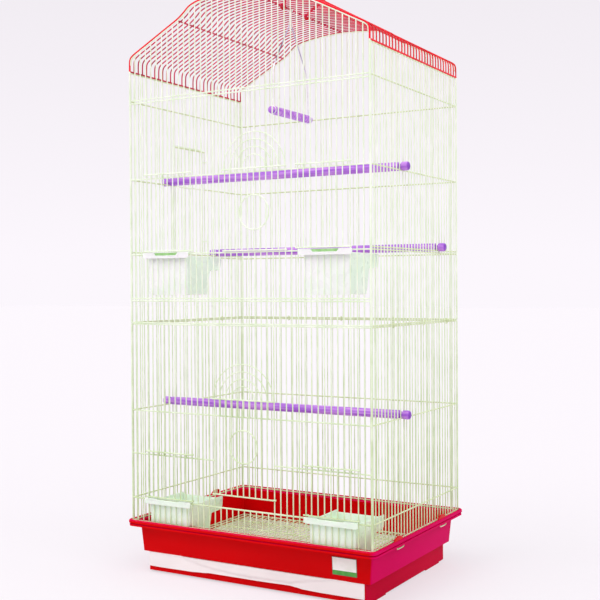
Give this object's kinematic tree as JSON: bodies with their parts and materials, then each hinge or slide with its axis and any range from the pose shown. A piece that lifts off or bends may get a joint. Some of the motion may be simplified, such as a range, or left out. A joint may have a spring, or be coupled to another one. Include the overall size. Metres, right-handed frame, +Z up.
{
  "type": "bird cage",
  "caption": "Tall wire bird cage with a domed roof, carry handle, seed cups, perches, swing, sliding doors and a moulded base with a pull-out drawer.",
  "frame": {"origin": "on the floor under the middle of the cage", "axes": "+Z up, front of the cage faces -Y, +X to the right of someone facing the cage"},
  "size_m": [0.49, 0.364, 1.0252],
  "materials": {
    "cage_wire": "thin glossy cream-green coating on steel wire",
    "roof_wire": "thin glossy red coating on steel wire",
    "red_plastic": "smooth moulded, glossy",
    "white_plastic": "smooth moulded, glossy",
    "mint_plastic": "smooth moulded, slightly see-through",
    "purple_plastic": "smooth moulded, glossy",
    "label_film": "plain satin film",
    "swing_wire": "thin dark coating on wire"
  },
  "bodies": {
    "cage": {"base_tub": "red_plastic", "floor_grille": "cage_wire", "label_plate": "label_film", "lower_front_panel": "cage_wire", "lower_back_panel": "cage_wire", "lower_left_panel": "cage_wire", "lower_right_panel": "cage_wire", "upper_front_sill": "cage_wire", "upper_front_stile_a": "cage_wire", "upper_front_stile_b": "cage_wire", "upper_front_stile_c": "cage_wire", "upper_front_stile_d": "cage_wire", "upper_front_gable": "cage_wire", "upper_back_panel": "cage_wire", "upper_left_panel": "cage_wire", "upper_right_panel": "cage_wire", "roof_grille": "roof_wire", "perch_top": "purple_plastic", "perch_middle": "purple_plastic", "perch_low": "purple_plastic", "base_clip_left_front": "cage_wire", "base_clip_left_back": "cage_wire", "base_clip_right_front": "cage_wire", "base_clip_right_back": "cage_wire"},
    "drawer": {"drawer": "white_plastic"},
    "lower_door": {"lower_door": "cage_wire"},
    "upper_door": {"upper_door": "cage_wire"},
    "nest_door": {"nest_door": "cage_wire"},
    "cup_lower_left": {"cup_lower_left": "mint_plastic"},
    "cup_lower_right": {"cup_lower_right": "mint_plastic"},
    "cup_upper_left": {"cup_upper_left": "mint_plastic"},
    "cup_upper_right": {"cup_upper_right": "mint_plastic"},
    "hatch_lower_left": {"hatch_lower_left": "cage_wire"},
    "hatch_lower_right": {"hatch_lower_right": "cage_wire"},
    "hatch_upper_left": {"hatch_upper_left": "cage_wire"},
    "hatch_upper_right": {"hatch_upper_right": "cage_wire"},
    "swing": {"swing_hook": "white_plastic", "swing_frame": "swing_wire", "swing_perch": "purple_plastic"},
    "handle": {"carry_handle": "red_plastic"}
  },
  "joints": [
    {"name": "drawer_slide", "type": "slide", "parent": "cage", "child": "drawer", "axis": [0, -1, 0], "range_m": [0, 0.22]},
    {"name": "lower_door_slide", "type": "slide", "parent": "cage", "child": "lower_door", "axis": [0, 0, 1], "range_m": [0, 0.11]},
    {"name": "upper_door_slide", "type": "slide", "parent": "cage", "child": "upper_door", "axis": [0, 0, 1], "range_m": [0, 0.115]},
    {"name": "nest_door_hinge", "type": "hinge", "parent": "cage", "child": "nest_door", "pos_m": [-0.23, 0.046, 0.6], "axis": [0, 0, -1], "range_deg": [0, 110]},
    {"name": "cup_lower_left_lift", "type": "slide", "parent": "cage", "child": "cup_lower_left", "axis": [0, 0, 1], "range_m": [0, 0.06]},
    {"name": "cup_lower_right_lift", "type": "slide", "parent": "cage", "child": "cup_lower_right", "axis": [0, 0, 1], "range_m": [0, 0.06]},
    {"name": "cup_upper_left_lift", "type": "slide", "parent": "cage", "child": "cup_upper_left", "axis": [0, 0, 1], "range_m": [0, 0.06]},
    {"name": "cup_upper_right_lift", "type": "slide", "parent": "cage", "child": "cup_upper_right", "axis": [0, 0, 1], "range_m": [0, 0.06]},
    {"name": "hatch_lower_left_slide", "type": "slide", "parent": "cup_lower_left", "child": "hatch_lower_left", "axis": [0, 0, 1], "range_m": [0, 0.062]},
    {"name": "hatch_lower_right_slide", "type": "slide", "parent": "cup_lower_right", "child": "hatch_lower_right", "axis": [0, 0, 1], "range_m": [0, 0.062]},
    {"name": "hatch_upper_left_slide", "type": "slide", "parent": "cup_upper_left", "child": "hatch_upper_left", "axis": [0, 0, 1], "range_m": [0, 0.115]},
    {"name": "hatch_upper_right_slide", "type": "slide", "parent": "cup_upper_right", "child": "hatch_upper_right", "axis": [0, 0, 1], "range_m": [0, 0.115]},
    {"name": "swing_hinge", "type": "hinge", "parent": "cage", "child": "swing", "pos_m": [0, -0.01725, 0.974], "axis": [0, 1, 0], "range_deg": [-35, 35]},
    {"name": "handle_hinge", "type": "hinge", "parent": "cage", "child": "handle", "pos_m": [0, 0, 0.974], "axis": [0, 1, 0], "range_deg": [-54, 0]}
  ]
}
